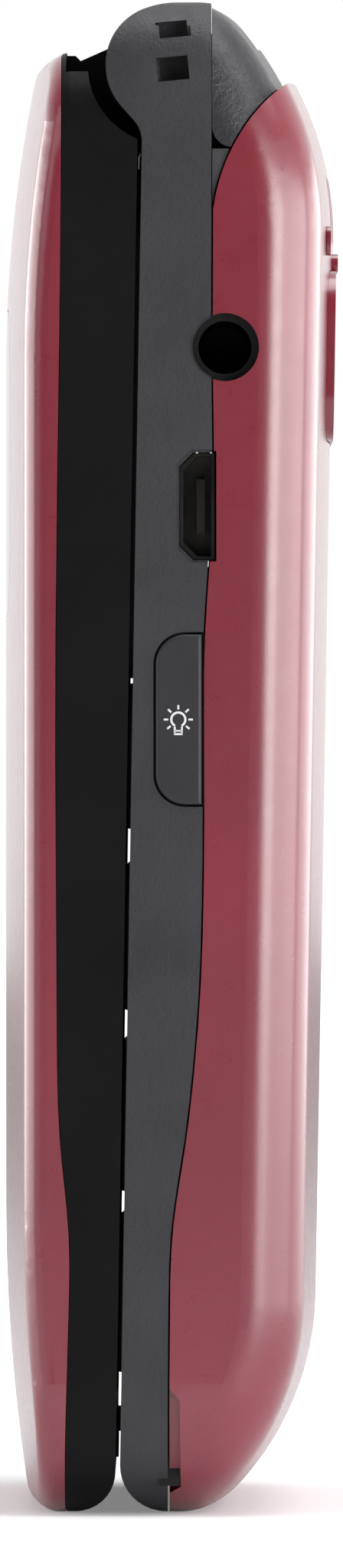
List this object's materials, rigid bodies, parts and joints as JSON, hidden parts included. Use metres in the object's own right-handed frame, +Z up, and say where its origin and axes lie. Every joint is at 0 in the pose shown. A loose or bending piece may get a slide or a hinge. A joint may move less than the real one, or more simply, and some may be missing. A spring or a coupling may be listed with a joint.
{
  "type": "flip phone",
  "caption": "Closed clamshell mobile phone standing on its foot: hinged lid with display, keypad base, torch key, charging and headset sockets, lift-off battery cover.",
  "frame": {"origin": "middle of the bottom of the closed phone's box", "axes": "+X to the side with the headset and charging sockets, +Y from the lid to the battery cover, +Z up to the hinge"},
  "size_m": [0.0536, 0.0229, 0.1025],
  "materials": {
    "red_gloss": "smooth pearly red lacquer",
    "assist_red": "smooth pearly red lacquer",
    "frame_black": "satin black, faint grain",
    "top_black": "satin black",
    "housing_grey": "dark grey, spark-eroded grain",
    "key_plastic": "satin, printed mark",
    "call_plastic": "satin, printed mark",
    "nav_plastic": "satin metallic paint",
    "side_key_plastic": "satin",
    "display_glass": "clear window, black behind",
    "outer_glass": "smoked window",
    "camera_glass": "clear window",
    "torch_clear": "clear lens",
    "panel_dark": "display face",
    "carrier_plastic": "moulded carrier",
    "mesh_cloth": "fine woven mesh",
    "can_steel": "rolled steel",
    "speaker_black": "moulded",
    "board_green": "solder resist",
    "flex_amber": "polyimide film",
    "dome_film": "film over metal domes",
    "screw_steel": "blackened steel",
    "pin_steel": "ground steel",
    "cap_rubber": "soft",
    "socket_metal": "plated",
    "socket_black": "moulded",
    "contact_gold": "gold plated blades in a block",
    "chassis_plastic": "glass filled nylon",
    "battery_wrap": "wrapped aluminium can",
    "antenna_gold": "plated carrier",
    "led_yellow": "phosphor"
  },
  "bodies": {
    "base": {"base_front_housing": "housing_grey", "top_rear_cover": "top_black", "torch_lens": "torch_clear", "torch_led": "led_yellow", "base_chassis": "chassis_plastic", "battery": "battery_wrap", "battery_contacts": "contact_gold", "main_circuit_board": "board_green", "keypad_dome_sheet": "dome_film", "microphone": "can_steel", "sim_holder": "socket_metal", "headset_socket": "socket_black", "usb_receptacle": "socket_metal", "side_switches": "socket_black", "rear_sub_board": "board_green", "loudspeaker": "speaker_black", "camera_module": "can_steel", "vibration_motor": "can_steel", "antenna": "antenna_gold", "housing_screws": "screw_steel", "hinge_cam_module": "pin_steel", "hinge_pin": "pin_steel"},
    "lid": {"lid_inner_frame": "frame_black", "lid_outer_cover": "red_gloss", "outer_display_window": "outer_glass", "main_display_window": "display_glass", "main_display_panel": "panel_dark", "earpiece_mesh": "mesh_cloth", "earpiece_receiver": "can_steel", "lid_circuit_board": "board_green", "outer_display_carrier": "carrier_plastic", "outer_display_panel": "panel_dark", "lid_magnet": "can_steel", "lid_screws": "screw_steel", "lid_screw_caps": "cap_rubber", "lid_bumpers": "cap_rubber", "lid_flex_cable": "flex_amber"},
    "battery_cover": {"rear_battery_cover": "red_gloss", "assistance_rim": "red_gloss", "camera_window": "camera_glass"},
    "key_1": {"key_1": "key_plastic"},
    "key_2": {"key_2": "key_plastic"},
    "key_3": {"key_3": "key_plastic"},
    "key_4": {"key_4": "key_plastic"},
    "key_5": {"key_5": "key_plastic"},
    "key_6": {"key_6": "key_plastic"},
    "key_7": {"key_7": "key_plastic"},
    "key_8": {"key_8": "key_plastic"},
    "key_9": {"key_9": "key_plastic"},
    "key_star": {"key_star": "key_plastic"},
    "key_0": {"key_0": "key_plastic"},
    "key_hash": {"key_hash": "key_plastic"},
    "left_soft_key": {"left_soft_key": "key_plastic"},
    "right_soft_key": {"right_soft_key": "key_plastic"},
    "call_key": {"call_key": "call_plastic"},
    "end_key": {"end_key": "call_plastic"},
    "nav_rocker": {"nav_rocker": "nav_plastic"},
    "torch_key": {"torch_key": "side_key_plastic"},
    "volume_rocker": {"volume_rocker": "side_key_plastic"},
    "assistance_key": {"assistance_key": "assist_red"}
  },
  "joints": [
    {"name": "lid_hinge", "type": "hinge", "parent": "base", "child": "lid", "pos_m": [0, -0.00014, 0.09807], "axis": [-1, 0, 0], "range_deg": [0, 150]},
    {"name": "key_1_press", "type": "slide", "parent": "base", "child": "key_1", "axis": [0, 0.9999, -0.0166], "range_m": [0, 0.0003], "stiffness_N_per_m": 3000},
    {"name": "key_2_press", "type": "slide", "parent": "base", "child": "key_2", "axis": [0, 0.9999, -0.0166], "range_m": [0, 0.0003], "stiffness_N_per_m": 3000},
    {"name": "key_3_press", "type": "slide", "parent": "base", "child": "key_3", "axis": [0, 0.9999, -0.0166], "range_m": [0, 0.0003], "stiffness_N_per_m": 3000},
    {"name": "key_4_press", "type": "slide", "parent": "base", "child": "key_4", "axis": [0, 0.9999, -0.0166], "range_m": [0, 0.0003], "stiffness_N_per_m": 3000},
    {"name": "key_5_press", "type": "slide", "parent": "base", "child": "key_5", "axis": [0, 0.9999, -0.0166], "range_m": [0, 0.0003], "stiffness_N_per_m": 3000},
    {"name": "key_6_press", "type": "slide", "parent": "base", "child": "key_6", "axis": [0, 0.9999, -0.0166], "range_m": [0, 0.0003], "stiffness_N_per_m": 3000},
    {"name": "key_7_press", "type": "slide", "parent": "base", "child": "key_7", "axis": [0, 0.9999, -0.0166], "range_m": [0, 0.0003], "stiffness_N_per_m": 3000},
    {"name": "key_8_press", "type": "slide", "parent": "base", "child": "key_8", "axis": [0, 0.9999, -0.0166], "range_m": [0, 0.0003], "stiffness_N_per_m": 3000},
    {"name": "key_9_press", "type": "slide", "parent": "base", "child": "key_9", "axis": [0, 0.9999, -0.0166], "range_m": [0, 0.0003], "stiffness_N_per_m": 3000},
    {"name": "key_star_press", "type": "slide", "parent": "base", "child": "key_star", "axis": [0, 0.9999, -0.0166], "range_m": [0, 0.0003], "stiffness_N_per_m": 3000},
    {"name": "key_0_press", "type": "slide", "parent": "base", "child": "key_0", "axis": [0, 0.9999, -0.0166], "range_m": [0, 0.0003], "stiffness_N_per_m": 3000},
    {"name": "key_hash_press", "type": "slide", "parent": "base", "child": "key_hash", "axis": [0, 0.9999, -0.0166], "range_m": [0, 0.0003], "stiffness_N_per_m": 3000},
    {"name": "left_soft_key_press", "type": "slide", "parent": "base", "child": "left_soft_key", "axis": [0, 0.9999, -0.0166], "range_m": [0, 0.0003], "stiffness_N_per_m": 3000},
    {"name": "right_soft_key_press", "type": "slide", "parent": "base", "child": "right_soft_key", "axis": [0, 0.9999, -0.0166], "range_m": [0, 0.0003], "stiffness_N_per_m": 3000},
    {"name": "call_key_press", "type": "slide", "parent": "base", "child": "call_key", "axis": [0, 0.9999, -0.0166], "range_m": [0, 0.0003], "stiffness_N_per_m": 3000},
    {"name": "end_key_press", "type": "slide", "parent": "base", "child": "end_key", "axis": [0, 0.9999, -0.0166], "range_m": [0, 0.0003], "stiffness_N_per_m": 3000},
    {"name": "nav_tilt", "type": "hinge", "parent": "base", "child": "nav_rocker", "pos_m": [0, -0.0009, 0.07477], "axis": [1, 0, 0], "range_deg": [-1.5, 1.5], "stiffness_Nm_per_rad": 0.5},
    {"name": "torch_key_press", "type": "slide", "parent": "base", "child": "torch_key", "axis": [-1, 0, 0], "range_m": [0, 0.0003], "stiffness_N_per_m": 3000},
    {"name": "volume_tilt", "type": "hinge", "parent": "base", "child": "volume_rocker", "pos_m": [-0.0246, 0.0005, 0.07072], "axis": [0, 1, 0], "range_deg": [-1.5, 1.5], "stiffness_Nm_per_rad": 0.3},
    {"name": "assistance_key_press", "type": "slide", "parent": "base", "child": "assistance_key", "axis": [0, -0.9999, 0.0166], "range_m": [0, 0.0003], "stiffness_N_per_m": 3000},
    {"name": "battery_cover_off", "type": "slide", "parent": "base", "child": "battery_cover", "axis": [0, 1, 0], "range_m": [0, 0.01]}
  ]
}
